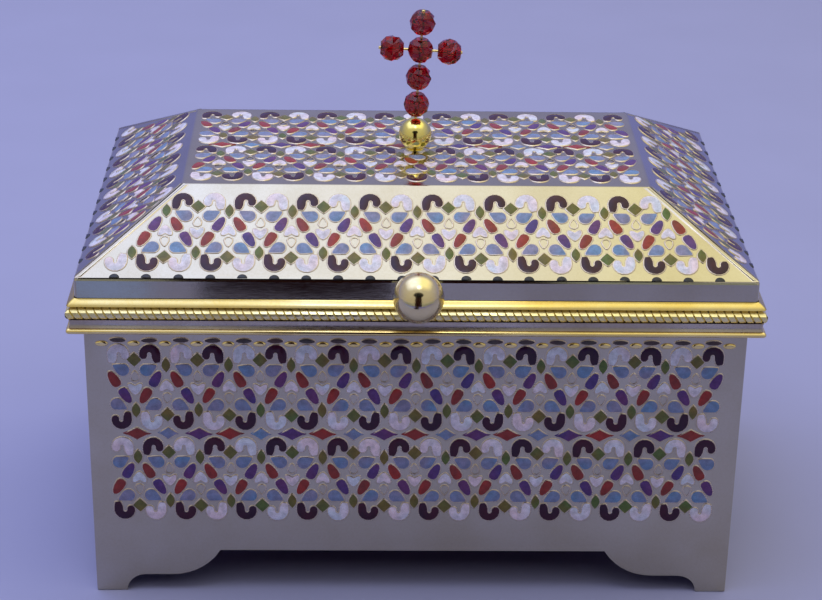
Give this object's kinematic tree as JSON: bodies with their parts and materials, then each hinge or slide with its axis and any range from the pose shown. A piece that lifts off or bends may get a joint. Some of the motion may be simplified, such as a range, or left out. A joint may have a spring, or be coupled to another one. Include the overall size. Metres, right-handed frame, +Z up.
{
  "type": "tabernacle",
  "caption": "Enamelled gilt brass tabernacle: a casket on bracket feet with a lift-off hipped lid, a ball knob in front and a small faceted glass cross on top.",
  "frame": {"origin": "on the floor, under the middle of the whole object's outline, knob included", "axes": "+X along the long side, to the right as seen from the front; -Y towards the front with the knob; +Z up"},
  "size_m": [0.2618, 0.1842, 0.218],
  "materials": {
    "gilt_sheet": "polished",
    "gilt_trim": "bright polished",
    "red_glass": "faceted gloss",
    "enamel": "fired glossy enamel"
  },
  "bodies": {
    "root": {"case_walls": "gilt_sheet", "floor_plate": "gilt_sheet", "case_rim": "gilt_trim", "rope_moulding": "gilt_trim", "lid_shell": "gilt_sheet", "lid_rim": "gilt_trim", "front_knob": "gilt_trim", "finial_ball": "gilt_trim", "cross_wire": "gilt_trim", "cross_bead_foot": "red_glass", "cross_bead_stem": "red_glass", "cross_bead_centre": "red_glass", "cross_bead_top": "red_glass", "cross_bead_left": "red_glass", "cross_bead_right": "red_glass"}
  },
  "joints": []
}
